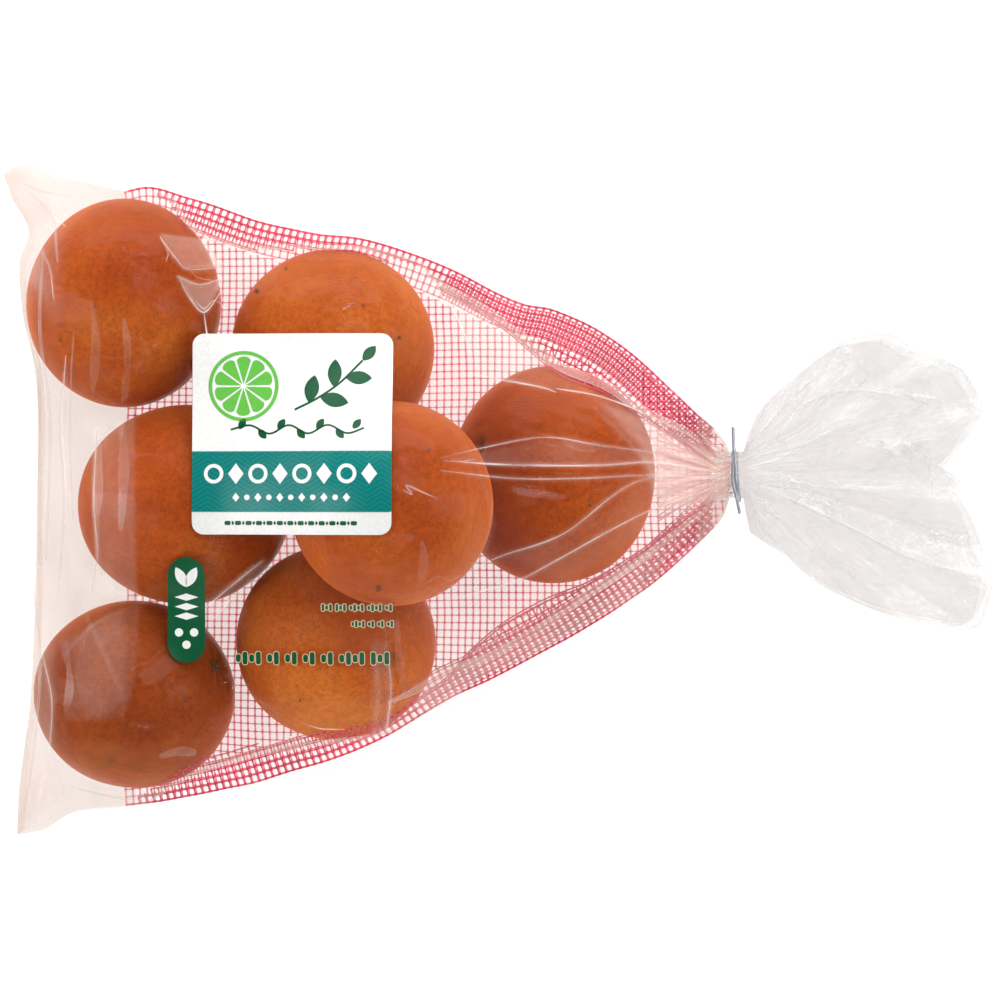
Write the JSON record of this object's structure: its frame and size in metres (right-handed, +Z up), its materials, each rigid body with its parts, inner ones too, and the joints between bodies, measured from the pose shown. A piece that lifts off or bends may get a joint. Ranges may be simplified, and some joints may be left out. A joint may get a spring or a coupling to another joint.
{
  "type": "net bag of oranges",
  "caption": "Bag of oranges with a clear film front and a red mesh back, lying on its back, its mouth gathered and closed with wire.",
  "frame": {"origin": "on the table under the middle of the part's outer box", "axes": "+X from the sealed bottom of the bag to its tied mouth, +Y across the bag, +Z up, out of the film front"},
  "size_m": [0.3605, 0.2432, 0.1215],
  "materials": {
    "filled_bag": "gloss",
    "clear_film": "gloss",
    "mesh_yarn": "satin",
    "peel": "satin",
    "white_print": "satin",
    "green_print": "satin",
    "tie_wire": "satin"
  },
  "bodies": {
    "root": {"bag": "filled_bag", "wire_tie": "tie_wire"}
  },
  "joints": []
}
